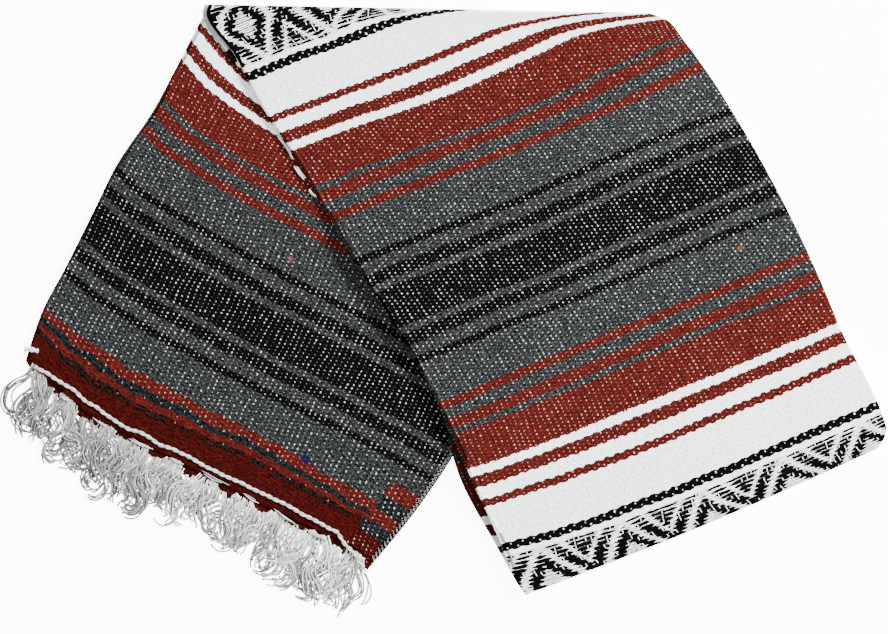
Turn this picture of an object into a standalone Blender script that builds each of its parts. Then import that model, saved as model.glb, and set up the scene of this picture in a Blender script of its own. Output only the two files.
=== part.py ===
"""Serape: a fringed striped blanket, folded in three along its length and laid flat.

The long three-layer strip comes up from its fringed end, turns over at a slanting fold,
comes down again to the right and is tucked back under itself at a last fold.
"""

import math
from collections import namedtuple

import bmesh
import bpy
from mathutils import Vector

# The cloth, in metres. It is woven 1.27 m wide and 1.6 m long, and folded in three to a strip
# of three plies: round on the left, with one ply's selvage over a fold of two on the right.
PLY = 0.0022
PLY_GAP = 0.0001
SEAM = 0.0003
STACK = 3 * PLY + 2 * PLY_GAP
PAIR = 2 * PLY + PLY_GAP
STACK_STEP = STACK + SEAM
SELVAGE_SET_BACK = 0.0006

# The two cross folds are half-round noses of two stacks
TOP_FOLD_HEIGHT = STACK_STEP + STACK
LOW_FOLD_HEIGHT = 2 * STACK
NOSE_WALL = 0.009
NOSE_STEP = 0.0004
NOSE_INSETS = (0.0, 0.0006, 0.0022, 0.0046, 0.0070, NOSE_WALL, NOSE_WALL + NOSE_STEP)
LOW_INSETS = (0.0105, 0.0068, 0.0040, 0.0018, 0.0005, 0.0)
LOW_BULGE = 0.0045
LOW_BULGE_REACH = 0.08
LOW_OUTWARD = Vector((0.37, -0.93))

# Mesh density
ACROSS = 20
NOSE_SIDES = 4
RIGHT_RINGS = 24
LEFT_RINGS = 17
THINNEST = 0.0006

# Plan of each stretch, in millimetres: where its left and right edges run, row by row.
# tuck_out is how far the tucked end shows past the left edge.
MM = 0.001
Row = namedtuple("Row", "left_x left_y right_x right_y tuck_out")
RIGHT_PLAN = (
    Row(-255, 334, 213, 325, 0),
    Row(-257, 321, 236, 315, 0),
    Row(-247, 304, 251, 296, 0),
    Row(-228, 281, 271, 270, 0),
    Row(-198, 224, 299, 226, -2),
    Row(-154, 157, 332, 170, -3),
    Row(-108, 73, 364, 110, -3),
    Row(-59, -6, 394, 46, -2),
    Row(-12, -88, 422, -20, 0),
    Row(23, -170, 447, -67, 7),
    Row(54, -240, 462, -101, 3),
    Row(70, -277, 467, -122, 0),
    Row(83, -296, 458, -140, 0),
)
LEFT_PLAN = (
    Row(-262, 322, 214, 313, 0),
    Row(-290, 268, 176, 228, 0),
    Row(-317, 218, 135, 139, 0),
    Row(-353, 165, 94, 50, 0),
    Row(-379, 113, 52, -38, 0),
    Row(-409, 53, 11, -127, 0),
    Row(-432, 8, -40, -202, 0),
    Row(-450, -45, -94, -271, 0),
)

# How the fringed end waves off the straight line between its corners, in millimetres
Wave = namedtuple("Wave", "share outset")
END_WAVE = (
    Wave(0.0, 1),
    Wave(0.06, 13),
    Wave(0.2, 23),
    Wave(0.43, 18),
    Wave(0.62, 12),
    Wave(0.82, 4),
    Wave(0.92, -3),
    Wave(1.0, 0),
)
WAVE_REACH = 0.07

# Steps of the fringed end, from the inside out: the upper ply stops short of the two below it
Step = namedtuple("Step", "before_end top base")
END_STEPS = (
    Step(0.0098, STACK, 0.0),
    Step(0.0086, PAIR + 0.0002, 0.0),
    Step(0.0014, PAIR, 0.0),
    Step(0.0, PAIR - 0.0009, 0.0007),
)

# Shallow dips of the upper faces, in the part's frame: centre, half lengths, turn and depth
Dip = namedtuple("Dip", "x y long_half short_half turn depth")
LEFT_DIPS = (
    Dip(-0.345, 0.075, 0.120, 0.032, 60, 0.0010),
    Dip(-0.250, -0.085, 0.140, 0.030, -30, 0.0009),
    Dip(-0.130, -0.160, 0.070, 0.026, 35, 0.0010),
)
RIGHT_DIPS = (
    Dip(0.060, 0.215, 0.210, 0.032, 14, 0.0011),
    Dip(0.250, 0.085, 0.130, 0.036, -58, 0.0012),
    Dip(0.130, -0.070, 0.170, 0.030, 20, 0.0010),
    Dip(0.330, -0.070, 0.110, 0.026, -62, 0.0010),
    Dip(0.145, -0.190, 0.100, 0.028, 24, 0.0012),
)
DIP_CALM = 0.04

# Where the tucked end stops under the right stretch: a point of its edge, in metres, and its slant
TUCK_END_X = -0.136
TUCK_END_Y = 0.116
TUCK_SLANT = math.radians(22)
TUCK_RAMP = 0.045

# How the right stretch comes down past the left one's edge, in metres beyond that edge
BASE_RAMP = (0.034, 0.072)
TOP_RAMP = (0.016, 0.092)

# Fringe: flat cotton locks out of a narrow strip, a lower tier on the floor and one above it
STRIP_PITCH = 4 * ACROSS
STRIP_ENDS = (1, 77)
STRIP_WIDTH = 0.0034
STRIP_LEVELS = (0.0003, 0.0008, 0.0020, 0.0030, 0.0042, 0.0045)
LOWER_BAND = 1
UPPER_BAND = 3
LOCK_RINGS = 7
LOCK_WIDTH = 0.0044
LOCK_TIP_WIDTH = 0.0022
LOCK_HEIGHT = 0.0012
LOCK_WAVE = 0.0042
LOCK_TURNS = 1.15
LOCK_START = 0.35
LOCK_STEP = 0.02
WAVE_DRIFT = 5.0
TIER_PHASE = 2.2
TIP_THINNING = 0.3
UPPER_DROP = 0.0004
Fall = namedtuple("Fall", "share along_x along_y")
FRINGE_FALL = (
    Fall(0.0, -12, -58),
    Fall(0.1, -30, -58),
    Fall(0.2, -34, -54),
    Fall(0.3, -30, -56),
    Fall(0.4, -32, -53),
    Fall(0.5, -25, -47),
    Fall(0.6, -27, -54),
    Fall(0.7, -27, -56),
    Fall(0.8, -35, -62),
    Fall(0.87, -24, -70),
    Fall(0.94, -11, -75),
    Fall(1.0, -5, -75),
)


def smooth(value, start, end):
    """0 before start and 1 after end, with a soft turn at both."""
    share = min(max((value - start) / (end - start), 0.0), 1.0)
    return share * share * (3 - 2 * share)


def between(rows, place):
    """The row at a place from 0 to 1 along a table, on a smooth curve through its rows."""
    last = len(rows) - 1
    at = min(max(place, 0.0), 1.0) * last
    first = min(int(at), last - 1)
    step = at - first
    near = [rows[min(max(first + offset, 0), last)] for offset in (-1, 0, 1, 2)]
    weights = (
        ((2 - step) * step - 1) * step / 2,
        ((3 * step - 5) * step * step + 2) / 2,
        ((4 - 3 * step) * step + 1) * step / 2,
        (step - 1) * step * step / 2,
    )
    columns = zip(*near)
    return type(rows[0])(*(sum(w * v for w, v in zip(weights, column)) for column in columns))


def read_table(rows, share, column):
    """A column of a table whose first column is the share, read at any share."""
    for low, high in zip(rows, rows[1:]):
        if share <= high.share:
            step = smooth(share, low.share, high.share)
            return getattr(low, column) * (1 - step) + getattr(high, column) * step
    return getattr(rows[-1], column)


class Plan:
    """Plan of one stretch, read by the distance in metres along the middle of it."""

    def __init__(self, rows, samples=400):
        self.rows = rows
        self.lengths = [0.0]
        self.samples = samples
        before = self.middle(0.0)
        for step in range(1, samples + 1):
            here = self.middle(step / samples)
            self.lengths.append(self.lengths[-1] + (here - before).length)
            before = here
        self.length = self.lengths[-1]

    def middle(self, place):
        row = between(self.rows, place)
        x = (row.left_x + row.right_x) / 2
        y = (row.left_y + row.right_y) / 2
        return Vector((x, y)) * MM

    def row_at(self, distance):
        """The ends of the line across the stretch at a distance, and its tuck_out, in metres."""
        step = 0
        while step < self.samples - 1 and self.lengths[step + 1] < distance:
            step += 1
        span = self.lengths[step + 1] - self.lengths[step]
        place = (step + (distance - self.lengths[step]) / span) / self.samples
        row = between(self.rows, place)
        left = Vector((row.left_x, row.left_y)) * MM
        right = Vector((row.right_x, row.right_y)) * MM
        return left, right, row.tuck_out * MM


def dip_at(dips, x, y):
    """How far the upper face sinks at a point."""
    depth = 0.0
    for dip in dips:
        turn = math.radians(dip.turn)
        along = (x - dip.x) * math.cos(turn) + (y - dip.y) * math.sin(turn)
        aside = (y - dip.y) * math.cos(turn) - (x - dip.x) * math.sin(turn)
        depth += dip.depth * math.exp(-((along / dip.long_half) ** 2) - (aside / dip.short_half) ** 2)
    return depth


def past_left_stretch(x, y):
    """Distance by which a point lies past the right edge of the left stretch."""
    rows = LEFT_PLAN
    upper, lower = rows[0], rows[1]
    for upper, lower in zip(rows, rows[1:]):
        if y >= lower.right_y * MM:
            break
    run = Vector((upper.right_x - lower.right_x, upper.right_y - lower.right_y)).normalized()
    offset = Vector((x, y)) - Vector((lower.right_x, lower.right_y)) * MM
    return offset.x * run.y - offset.y * run.x


def tucked_share(x, y):
    """1 where the tucked end lies under the right stretch, and 0 above its edge."""
    offset_x = x - TUCK_END_X
    offset_y = y - TUCK_END_Y
    below = offset_x * math.sin(TUCK_SLANT) - offset_y * math.cos(TUCK_SLANT)
    return smooth(below, 0.0, TUCK_RAMP)


def edge_profile(noses, top, base):
    """(inset, height) down an edge: one half-round for each (thickness, set back) nose."""
    scale = (top - base) / sum(thickness for thickness, _ in noses)
    points = []
    height = top
    for number, (thickness, set_back) in enumerate(noses):
        radius = thickness * scale / 2
        for step in range(min(number, 1), NOSE_SIDES + 1):
            angle = math.pi * step / NOSE_SIDES
            inset = set_back + radius * (1 - math.sin(angle))
            points.append((inset, height - radius * (1 - math.cos(angle))))
        height -= 2 * radius
    return points


def make_ring(left, right, heights, left_noses, right_noses, bow):
    """One closed section: over the upper face, down the right edge, back under, up the left edge.

    heights gives (top, base) at a plan point, and bow pushes the line off the straight.
    """
    run = (right - left).normalized()
    width = (right - left).length

    def place(distance):
        return left + run * distance + bow(distance / width)

    def edge(noses, corner):
        top, base = heights(*place(corner))
        return edge_profile(noses, top, base)

    left_points = edge(left_noses, 0.0)
    right_points = edge(right_noses, width)
    columns = [width * number / ACROSS for number in range(1, ACROSS)]
    upper = [(distance, heights(*place(distance))[0]) for distance in columns]
    lower = [(distance, heights(*place(distance))[1]) for distance in reversed(columns)]
    right_side = [(width - inset, height) for inset, height in right_points]
    left_side = [(inset, height) for inset, height in reversed(left_points)]
    section = upper + right_side + lower + left_side
    return [place(distance).to_3d() + Vector((0, 0, height)) for distance, height in section]


def loft(rings, right_count, left_count):
    """Skins rings with equal counts of points and closes both ends like a ladder."""
    mesh = bmesh.new()
    loops = [[mesh.verts.new(point) for point in ring] for ring in rings]
    count = len(loops[0])
    for near, far in zip(loops, loops[1:]):
        for index in range(count):
            after = (index + 1) % count
            mesh.faces.new((near[index], near[after], far[after], far[index]))
    inner = ACROSS - 1
    for loop in (loops[0], loops[-1]):
        lower_start = inner + right_count
        for index in range(inner - 1):
            under = lower_start + inner - 1 - index
            mesh.faces.new((loop[index], loop[index + 1], loop[under - 1], loop[under]))
        mesh.faces.new(loop[inner - 1 : lower_start + 1])
        mesh.faces.new(loop[lower_start + inner - 1 :] + loop[:1])
    bmesh.ops.recalc_face_normals(mesh, faces=mesh.faces)
    return mesh


def fold_nose(distance, height):
    """Top and base of a half-round fold at a distance in from its outermost line."""
    radius = height / 2
    inside = min(distance, radius)
    half = max(math.sqrt(radius**2 - (radius - inside) ** 2), THINNEST / 2)
    return radius + half, radius - half


def right_heights(distance, length):
    """The function that gives top and base of the right stretch along one line across it."""
    before_end = length - distance
    low_top, low_base = fold_nose(before_end, LOW_FOLD_HEIGHT)

    def heights(x, y):
        if distance <= NOSE_WALL:
            return fold_nose(distance, TOP_FOLD_HEIGHT)
        if before_end < LOW_FOLD_HEIGHT / 2:
            return low_top, low_base
        past = past_left_stretch(x, y)
        base = STACK_STEP * (1 - smooth(past, *BASE_RAMP))
        top = STACK_STEP * (1 - smooth(past, *TOP_RAMP)) + STACK * (1 + tucked_share(x, y))
        calm = smooth(distance, NOSE_WALL, DIP_CALM)
        calm *= smooth(before_end, LOW_FOLD_HEIGHT / 2, DIP_CALM)
        return top - dip_at(RIGHT_DIPS, x, y) * calm, base

    return heights


def right_noses(distance, corner, tuck_out):
    """Noses of the right stretch at one of its corners: those of the tucked end fade out above it."""
    share = 1.0 if distance <= NOSE_WALL else max(tucked_share(*corner), 0.02)
    hidden = (1 - share) * STACK / 2
    left = ((STACK, 0.0), (STACK * share, hidden - tuck_out * share))
    tucked_selvage = (PLY * share, SELVAGE_SET_BACK + hidden)
    right = ((PAIR, 0.0), (PLY, SELVAGE_SET_BACK), tucked_selvage, (PAIR * share, hidden))
    return left, right


def build_right_stretch():
    plan = Plan(RIGHT_PLAN)
    length = plan.length
    top_nose = list(NOSE_INSETS)
    low_nose = [length - inset for inset in LOW_INSETS]
    first = top_nose[-1]
    last = low_nose[0]
    body = [first + (last - first) * step / RIGHT_RINGS for step in range(1, RIGHT_RINGS)]
    rings = []
    for distance in top_nose + body + low_nose:
        left, right, tuck_out = plan.row_at(distance)
        left_noses, _ = right_noses(distance, left, tuck_out)
        _, right_side = right_noses(distance, right, tuck_out)
        bulge = LOW_BULGE * smooth(distance, length - LOW_BULGE_REACH, length)

        def bow(share, bulge=bulge):
            return LOW_OUTWARD * bulge * math.sin(math.pi * share)

        heights = right_heights(distance, length)
        rings.append(make_ring(left, right, heights, left_noses, right_side, bow))
    right_count = 4 * NOSE_SIDES + 1
    left_count = 2 * NOSE_SIDES + 1
    return loft(rings, right_count, left_count)


def end_outset(share):
    """The wave of the fringed end, in straight runs between the columns of the mesh."""
    column = min(math.floor(share * ACROSS), ACROSS - 1)
    step = share * ACROSS - column
    low = read_table(END_WAVE, column / ACROSS, "outset")
    high = read_table(END_WAVE, (column + 1) / ACROSS, "outset")
    return (low * (1 - step) + high * step) * MM


def end_corners():
    last = LEFT_PLAN[-1]
    left = Vector((last.left_x, last.left_y)) * MM
    right = Vector((last.right_x, last.right_y)) * MM
    return left, right


def end_normal():
    left, right = end_corners()
    run = (right - left).normalized()
    return Vector((run.y, -run.x))


def build_left_stretch():
    plan = Plan(LEFT_PLAN)
    length = plan.length
    normal = end_normal()
    last = length - END_STEPS[0].before_end
    body = [last * step / LEFT_RINGS for step in range(LEFT_RINGS)]
    steps = [(distance, STACK, 0.0) for distance in body]
    steps += [(length - step.before_end, step.top, step.base) for step in END_STEPS]
    rings = []
    for distance, top, base in steps:
        left, right, _ = plan.row_at(distance)
        weight = smooth(distance, length - WAVE_REACH, length)
        calm = smooth(length - distance, 0.0, DIP_CALM) * smooth(distance, 0.0, DIP_CALM)

        def heights(x, y, top=top, base=base, calm=calm):
            return top - dip_at(LEFT_DIPS, x, y) * calm, base

        def bow(share, weight=weight):
            return normal * end_outset(share) * weight

        left_noses = ((STACK, 0.0),)
        right_side = ((PLY, SELVAGE_SET_BACK), (PAIR, 0.0))
        rings.append(make_ring(left, right, heights, left_noses, right_side, bow))
    return loft(rings, 2 * NOSE_SIDES + 1, NOSE_SIDES + 1)


def end_point(share, outwards):
    """A point of the fringed end, pushed outwards from the cloth."""
    left, right = end_corners()
    return left.lerp(right, share) + end_normal() * (end_outset(share) + outwards)


def lock_centre(share, along, tier):
    """Where a lock runs in plan: it falls away from its root in a slow wave."""
    root = end_point(share, SEAM + STRIP_WIDTH)
    fall_x = read_table(FRINGE_FALL, share, "along_x")
    fall_y = read_table(FRINGE_FALL, share, "along_y")
    fall = Vector((fall_x, fall_y)) * MM
    start = end_normal() * fall.length * LOCK_START
    swing = start * 2 * along * (1 - along) + fall * along * along
    aside = Vector((fall.y, -fall.x)).normalized()
    phase = TIER_PHASE * tier + WAVE_DRIFT * share
    wave = math.sin(2 * math.pi * LOCK_TURNS * along + phase) - math.sin(phase)
    return root + swing + aside * LOCK_WAVE * wave * smooth(along, 0.0, 0.5)


def grow_lock(mesh, face, share, tier):
    """Extrudes one lock out of its root face, ring by ring, with its tip left a narrow end."""
    middle = face.calc_center_median()
    for ring in range(1, LOCK_RINGS + 1):
        along = ring / LOCK_RINGS
        centre = lock_centre(share, along, tier)
        ahead = lock_centre(share, along + LOCK_STEP, tier)
        ahead -= lock_centre(share, along - LOCK_STEP, tier)
        aside = Vector((ahead.y, -ahead.x)).normalized()
        half_width = (LOCK_WIDTH * (1 - along) + LOCK_TIP_WIDTH * along) / 2
        half_height = LOCK_HEIGHT * (1 - TIP_THINNING * along) / 2
        height = middle.z - UPPER_DROP * tier * along
        before = face.calc_center_median()
        face = bmesh.ops.extrude_discrete_faces(mesh, faces=[face])["faces"][0]
        for vert in face.verts:
            offset = vert.co - before
            spot = centre + aside * math.copysign(half_width, offset.dot(aside.to_3d()))
            vert.co = (spot.x, spot.y, height + math.copysign(half_height, offset.z))


def build_fringe():
    """The strip is a bar of columns and levels, and each lock grows out of a face of its outer side."""
    mesh = bmesh.new()
    first, last = STRIP_ENDS
    shares = [column / STRIP_PITCH for column in range(first, last + 1)]
    columns = last - first
    inner = []
    outer = []
    for share in shares:
        back = end_point(share, SEAM)
        front = end_point(share, SEAM + STRIP_WIDTH)
        inner.append([mesh.verts.new((back.x, back.y, level)) for level in STRIP_LEVELS[::5]])
        outer.append([mesh.verts.new((front.x, front.y, level)) for level in STRIP_LEVELS])
    roots = []
    for column in range(columns):
        near_in, far_in = inner[column : column + 2]
        near_out, far_out = outer[column : column + 2]
        mesh.faces.new((near_in[0], near_in[-1], far_in[-1], far_in[0]))
        mesh.faces.new((near_in[-1], near_out[-1], far_out[-1], far_in[-1]))
        mesh.faces.new((near_in[0], far_in[0], far_out[0], near_out[0]))
        for band in range(len(STRIP_LEVELS) - 1):
            corners = (near_out[band], far_out[band], far_out[band + 1], near_out[band + 1])
            face = mesh.faces.new(corners)
            tier = column % 2
            if 0 < column < columns - 1 and band == (LOWER_BAND, UPPER_BAND)[tier]:
                roots.append((face, (shares[column] + shares[column + 1]) / 2, tier))
    for end in (0, -1):
        mesh.faces.new(outer[end] + inner[end][::-1])
    bmesh.ops.recalc_face_normals(mesh, faces=mesh.faces)
    for face, share, tier in roots:
        grow_lock(mesh, face, share, tier)
    return mesh


def make_material(name, colour, roughness):
    material = bpy.data.materials.new(name)
    material.use_nodes = True
    shader = material.node_tree.nodes["Principled BSDF"]
    shader.inputs["Base Color"].default_value = (*colour, 1)
    shader.inputs["Roughness"].default_value = roughness
    shader.inputs["Metallic"].default_value = 0
    material.diffuse_color = (*colour, 1)
    return material


def add_piece(collection, name, mesh, colour, roughness):
    data = bpy.data.meshes.new(name)
    mesh.to_mesh(data)
    mesh.free()
    data.shade_smooth()
    data.set_sharp_from_angle(angle=math.radians(50))
    data.materials.append(make_material(name, colour, roughness))
    piece = bpy.data.objects.new(name, data)
    collection.objects.link(piece)
    return piece


for old in list(bpy.data.objects):
    bpy.data.objects.remove(old, do_unlink=True)

serape = bpy.data.collections.new("folded_serape")
bpy.context.scene.collection.children.link(serape)
add_piece(serape, "left_stretch", build_left_stretch(), (0.20, 0.035, 0.022), 0.95)
add_piece(serape, "right_stretch", build_right_stretch(), (0.055, 0.065, 0.070), 0.95)
add_piece(serape, "fringe", build_fringe(), (0.70, 0.71, 0.72), 0.9)
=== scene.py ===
"""Serape: the blanket's cloth, weave, stripes, stitching and fringe, set over the part's solids."""

import math
import random

import bpy
import numpy as np
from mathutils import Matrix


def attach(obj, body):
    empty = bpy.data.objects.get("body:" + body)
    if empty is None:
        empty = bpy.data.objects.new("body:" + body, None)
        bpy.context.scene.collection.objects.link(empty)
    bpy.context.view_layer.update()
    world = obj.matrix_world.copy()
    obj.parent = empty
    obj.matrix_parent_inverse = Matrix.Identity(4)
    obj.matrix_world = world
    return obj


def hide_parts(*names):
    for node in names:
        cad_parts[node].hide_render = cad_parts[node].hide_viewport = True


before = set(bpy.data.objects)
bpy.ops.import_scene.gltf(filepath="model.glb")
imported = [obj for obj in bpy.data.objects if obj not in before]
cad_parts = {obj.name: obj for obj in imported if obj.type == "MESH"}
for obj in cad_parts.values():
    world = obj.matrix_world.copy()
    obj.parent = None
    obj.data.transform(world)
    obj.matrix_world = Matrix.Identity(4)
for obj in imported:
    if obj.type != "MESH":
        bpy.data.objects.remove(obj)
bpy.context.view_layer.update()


# The folded blanket, first of its two stretches. Wool weft beaten over cotton warp, 1.27 m wide,
# folded in three along its length to a strip 0.42 m wide of three plies, 6.8 mm high in all.
# From its fringed end it runs up to the top fold. Plain weave, nothing cut or sewn but the selvage.
PLY = 0.0022
STACK = 0.0068
PAIR = 0.0045
STACK_STEP = 0.0071
SELVAGE_SET_BACK = 0.0006
MM = 0.001
UPPER_COLUMNS = 140
NOSE_SIDES = 8

# Plan of each stretch in millimetres, a row for each line across it: where the line starts and
# ends, how far round the blanket's length that is (from the first rope line), and tuck_out,
# how far the tucked end shows past the left edge.
LEFT_X, LEFT_Y, LEFT_V, RIGHT_X, RIGHT_Y, RIGHT_V, TUCK_OUT = range(7)
LEFT_PLAN = (
    (-262, 322, -147, 214, 313, 223, 0),
    (-290, 268, -208, 176, 228, 113, 0),
    (-317, 218, -265, 135, 139, -60, 0),
    (-353, 165, -329, 94, 50, -190, 0),
    (-379, 113, -390, 52, -38, -287, 0),
    (-409, 53, -457, 18, -125, -385, 0),
    (-433, 8, -507, -30, -201, -476, 0),
    (-451, -45, -563, -86, -270, -563, 0),
)
END_V = -0.563
END_WAVE_SHARES = (0.0, 0.06, 0.2, 0.43, 0.62, 0.82, 0.92, 1.0)
END_WAVE_OUTSETS = (1, 13, 23, 18, 12, 4, -3, 0)
WAVE_REACH = 0.07
WAVE_COLUMNS = 20
UPPER_PLY_SHORT = 0.0092

# Soft troughs and ridges of the upper faces: centre, half lengths, turn in degrees, depth
LEFT_DIPS = (
    (-0.345, 0.075, 0.120, 0.032, 60, 0.0010),
    (-0.250, -0.085, 0.140, 0.030, -30, 0.0009),
    (-0.130, -0.160, 0.070, 0.026, 35, 0.0010),
    (-0.300, 0.010, 0.050, 0.012, -34, 0.0006),
    (-0.400, -0.020, 0.030, 0.014, 70, 0.0007),
)
SWELL = 0.0004

# The stripes bow: towards the fringe left of the strip's middle, towards the top fold right of it
LEFT_BOW = 0.0108
LEFT_BOW_PEAK = 0.18
LEFT_BOW_SPAN = 0.85

# Lines down the end: how far before it each lies, its top and its base. The upper ply stops
# short, then come the two lower plies.
UPPER_PLY_EDGE = (
    (UPPER_PLY_SHORT, STACK - 0.0006, 0.0),
    (UPPER_PLY_SHORT - 0.0003, PAIR + 0.0006, 0.0),
    (UPPER_PLY_SHORT - 0.0009, PAIR, 0.0),
)
LOWER_PLY_EDGE = (
    (0.0050, PAIR, 0.0),
    (0.0014, PAIR, 0.0),
    (0.0004, PAIR - 0.0005, 0.0004),
    (0.0, PAIR - 0.0012, 0.0011),
)
LEFT_LINES = 190
CALM_REACH = 0.04
PLAN_SAMPLES = 800


def smooth(value, start, end):
    """0 before start and 1 after end, with a soft turn at both."""
    share = np.clip((np.asarray(value, float) - start) / (end - start), 0, 1)
    return share * share * (3 - 2 * share)


def read_plan(rows, place):
    """The plan's row at a place from 0 to 1, on a smooth curve through its rows, in metres."""
    rows = np.array(rows, float)
    last = len(rows) - 1
    at = min(max(place, 0.0), 1.0) * last
    first = min(int(at), last - 1)
    step = at - first
    near = rows[[max(first - 1, 0), first, first + 1, min(first + 2, last)]]
    weights = (
        ((2 - step) * step - 1) * step / 2,
        ((3 * step - 5) * step * step + 2) / 2,
        ((4 - 3 * step) * step + 1) * step / 2,
        (step - 1) * step * step / 2,
    )
    return np.dot(weights, near) * MM


def row_ends(row):
    return row[[LEFT_X, LEFT_Y]], row[[RIGHT_X, RIGHT_Y]]


def distances_along(points):
    """How far each point is from the first, along the line through them all."""
    steps = np.linalg.norm(np.diff(points, axis=0), axis=1)
    return np.concatenate(([0], np.cumsum(steps)))


def measure_plan(rows):
    """Places down the plan and the distance of each along its middle."""
    places = np.linspace(0, 1, PLAN_SAMPLES + 1)
    middle = [sum(row_ends(read_plan(rows, place))) / 2 for place in places]
    return places, distances_along(middle)


def dip_at(dips, x, y):
    """How far the upper face sinks at each point."""
    depth = np.zeros_like(x)
    for centre_x, centre_y, long_half, short_half, turn, most in dips:
        angle = math.radians(turn)
        along = (x - centre_x) * math.cos(angle) + (y - centre_y) * math.sin(angle)
        aside = (y - centre_y) * math.cos(angle) - (x - centre_x) * math.sin(angle)
        depth += most * np.exp(-((along / long_half) ** 2) - (aside / short_half) ** 2)
    return depth


def swell_at(x, y):
    """The slight unevenness of a woollen face that lies loose."""
    slow = np.sin(31 * x + 17 * y + 1.3) * np.sin(23 * y - 12 * x + 0.4)
    quick = np.sin(83 * x - 61 * y + 2.1) * np.sin(71 * y + 47 * x)
    return SWELL * (slow + 0.4 * quick)


def edge_profile(noses, top, base):
    """(inset, height) down an edge: one half-round for each (thickness, set back) nose."""
    scale = (top - base) / sum(thickness for thickness, _ in noses)
    points = []
    height = top
    for number, (thickness, set_back) in enumerate(noses):
        radius = thickness * scale / 2
        for step in range(min(number, 1), NOSE_SIDES + 1):
            angle = math.pi * step / NOSE_SIDES
            inset = set_back + radius * (1 - math.sin(angle))
            points.append((inset, height - radius * (1 - math.cos(angle))))
        height -= 2 * radius
    return points


def ring_points(left, right, heights, left_noses, right_noses, bow, bow_direction):
    """One closed section: over the upper face, down the right edge, back under, up the left.

    Gives its points, how far each is across the strip, and 1 for those of its lower half.
    """
    width = np.linalg.norm(right - left)

    def place(distance):
        share = np.atleast_1d(distance) / width
        return left + np.outer(share, right - left) + np.outer(bow(share), bow_direction)

    def edge(noses, corner):
        corner_x, corner_y = place(corner)[0]
        top, base = heights(np.array([corner_x]), np.array([corner_y]))
        return np.array(edge_profile(noses, top[0], base[0]))

    left_side = edge(left_noses, 0.0)[::-1]
    right_side = edge(right_noses, width)
    columns = width * np.arange(1, UPPER_COLUMNS) / UPPER_COLUMNS
    flat = place(columns)
    top, base = heights(flat[:, 0], flat[:, 1])
    across = np.concatenate((columns, width - right_side[:, 0], columns[::-1], left_side[:, 0]))
    level = np.concatenate((top, right_side[:, 1], base[::-1], left_side[:, 1]))
    under = np.zeros(len(across))
    half_right = len(right_side) // 2
    half_left = len(left_side) // 2
    under[len(columns) + half_right : len(across) - half_left] = 1
    return np.column_stack((place(across), level)), across, under


def add_object(name, data):
    thing = bpy.data.objects.new(name, data)
    bpy.context.scene.collection.objects.link(thing)
    return thing


def skin(name, rings, across, along, from_selvage):
    """A closed mesh over rings of equal counts.

    Its UV map is (across, along) in metres, and it holds how far each point is from the selvage.
    """
    count = len(rings[0])
    rows = len(rings)
    verts = np.concatenate(rings)
    first = np.arange(rows - 1)[:, None] * count
    column = np.arange(count)[None, :]
    after = (column + 1) % count
    corners = (first + column, first + count + column, first + count + after, first + after)
    quads = np.stack(np.broadcast_arrays(*corners), axis=-1).reshape(-1, 4)
    caps = [list(range(count)), list(range(rows * count - 1, (rows - 1) * count - 1, -1))]
    mesh = bpy.data.meshes.new(name)
    mesh.from_pydata(verts.tolist(), [], quads.tolist() + caps)
    coordinates = np.column_stack((np.concatenate(across), np.concatenate(along)))
    layer = mesh.uv_layers.new(name="woven")
    point_of_corner = np.empty(len(mesh.loops), int)
    mesh.loops.foreach_get("vertex_index", point_of_corner)
    layer.data.foreach_set("uv", coordinates[point_of_corner].ravel())
    edge = mesh.attributes.new("from_selvage", "FLOAT", "POINT")
    edge.data.foreach_set("value", np.concatenate(from_selvage))
    mesh.shade_smooth()
    return add_object(name, mesh)


def end_corners():
    return row_ends(np.array(LEFT_PLAN[-1]) * MM)


def end_normal():
    left, right = end_corners()
    run = (right - left) / np.linalg.norm(right - left)
    return np.array((run[1], -run[0]))


def wave_columns():
    """The wave of the fringed end off the straight line between its corners, at even columns."""
    outsets = []
    for place in np.linspace(0, 1, WAVE_COLUMNS + 1):
        high = int(np.clip(np.searchsorted(END_WAVE_SHARES, place), 1, len(END_WAVE_SHARES) - 1))
        step = smooth(place, END_WAVE_SHARES[high - 1], END_WAVE_SHARES[high])
        outsets.append(END_WAVE_OUTSETS[high - 1] * (1 - step) + END_WAVE_OUTSETS[high] * step)
    return np.array(outsets) * MM


def end_outset(share):
    return np.interp(share, np.linspace(0, 1, WAVE_COLUMNS + 1), wave)


wave = wave_columns()


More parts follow.
